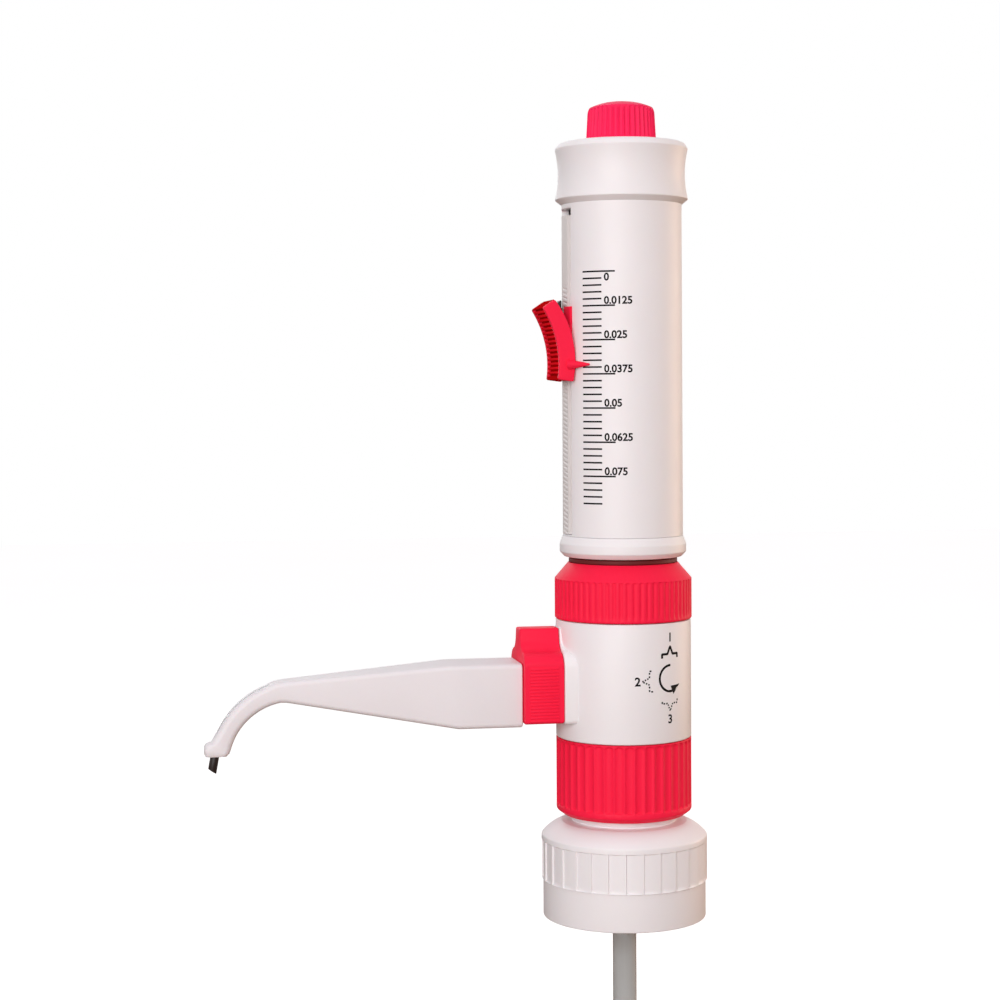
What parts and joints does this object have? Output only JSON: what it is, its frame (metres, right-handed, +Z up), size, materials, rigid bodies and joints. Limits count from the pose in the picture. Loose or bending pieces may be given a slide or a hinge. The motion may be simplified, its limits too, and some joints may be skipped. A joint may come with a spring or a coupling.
{
  "type": "bottle-top dispenser",
  "caption": "Bottle-top dispenser: a sleeve with a volume slider and thumb lever works a piston above a swivelling valve block with a recirculation knob and a curved nozzle.",
  "frame": {"origin": "centre of the bottle adapter's rim, on the axis of its thread", "axes": "+Z up along the axis of the thread, the sleeve and the piston; the nozzle points along -X and the printed scale faces -Y"},
  "size_m": [0.162, 0.0538, 0.4135],
  "materials": {
    "white_plastic": "satin moulded white",
    "red_plastic": "satin moulded red",
    "rack_plastic": "matte off-white",
    "housing_plastic": "matte natural",
    "fluoropolymer": "waxy white",
    "seal_plastic": "soft off-white",
    "clear_tube": "milky clear",
    "dark_rubber": "matte dark",
    "dark_plastic": "matte dark",
    "steel": "ground",
    "cylinder_glass": "clear",
    "ball_glass": "clear"
  },
  "bodies": {
    "bottle_mount": {"bottle_adapter": "white_plastic", "adapter_gasket": "seal_plastic", "neck_seal": "seal_plastic", "mounting_nut": "red_plastic"},
    "valve_head": {"valve_block": "white_plastic", "inlet_valve_body": "fluoropolymer", "inlet_cage": "fluoropolymer", "inlet_oring": "dark_rubber", "filling_tube": "clear_tube", "return_tube": "clear_tube", "discharge_stem": "fluoropolymer", "ball_stop": "fluoropolymer", "nozzle_arm": "white_plastic", "discharge_tube": "clear_tube", "nozzle_tip": "dark_plastic", "union_nut": "red_plastic", "cylinder_housing": "housing_plastic", "bumper_ring": "dark_rubber", "stroke_stop_ring": "dark_rubber", "glass_cylinder": "cylinder_glass", "cylinder_seal": "seal_plastic", "centring_ring": "housing_plastic"},
    "recirculation_knob": {"valve_knob": "red_plastic", "valve_rotor": "fluoropolymer"},
    "sleeve": {"outer_sleeve": "white_plastic", "sleeve_base_ring": "white_plastic", "guide_bush": "seal_plastic", "handle_collar": "white_plastic", "tooth_rack": "rack_plastic"},
    "calibration": {"calibration_knob": "red_plastic"},
    "piston": {"rod_coupling": "housing_plastic", "piston_rod": "steel", "piston_head": "fluoropolymer"},
    "volume_slider": {"slider_carriage": "red_plastic", "spring_block": "dark_plastic", "lever_pin": "steel"},
    "volume_lever": {"thumb_lever": "red_plastic"},
    "inlet_valve_ball": {"inlet_ball": "ball_glass"},
    "discharge_valve_ball": {"discharge_ball": "ball_glass"},
    "tube_extension": {"telescopic_tube": "clear_tube"}
  },
  "joints": [
    {"name": "head_swivel", "type": "hinge", "parent": "bottle_mount", "child": "valve_head", "pos_m": [0, 0, 0.0518], "axis": [0, 0, 1], "continuous": true},
    {"name": "recirculation_turn", "type": "hinge", "parent": "valve_head", "child": "recirculation_knob", "pos_m": [-0.0285, 0, 0.0768], "axis": [-1, 0, 0], "range_deg": [0, 180]},
    {"name": "sleeve_lift", "type": "slide", "parent": "valve_head", "child": "sleeve", "axis": [0, 0, 1], "range_m": [0, 0.0736]},
    {"name": "calibration_turn", "type": "hinge", "parent": "sleeve", "child": "calibration", "pos_m": [0, 0, 0.25], "axis": [0, 0, 1], "range_deg": [-360, 360]},
    {"name": "piston_adjust", "type": "slide", "parent": "sleeve", "child": "piston", "axis": [0, 0, 1], "range_m": [-0.00075, 0.00075]},
    {"name": "volume_slide", "type": "slide", "parent": "sleeve", "child": "volume_slider", "axis": [0, 0, 1], "range_m": [-0.0443, 0.0293]},
    {"name": "lever_press", "type": "hinge", "parent": "volume_slider", "child": "volume_lever", "pos_m": [-0.0204, 0, 0.1765], "axis": [0, 1, 0], "range_deg": [0, 5], "stiffness_Nm_per_rad": 0.1, "springref_deg": -5.73},
    {"name": "inlet_ball_lift", "type": "slide", "parent": "valve_head", "child": "inlet_valve_ball", "axis": [0, 0, 1], "range_m": [0, 0.0009]},
    {"name": "discharge_ball_lift", "type": "slide", "parent": "valve_head", "child": "discharge_valve_ball", "axis": [-1, 0, 0], "range_m": [0, 0.0009]},
    {"name": "tube_telescope", "type": "slide", "parent": "valve_head", "child": "tube_extension", "axis": [0, 0, 1], "range_m": [0, 0.07]}
  ],
  "couplings": [
    {"joint": "calibration_turn", "follows": "piston_adjust", "rad_per_m": 8377.6}
  ]
}
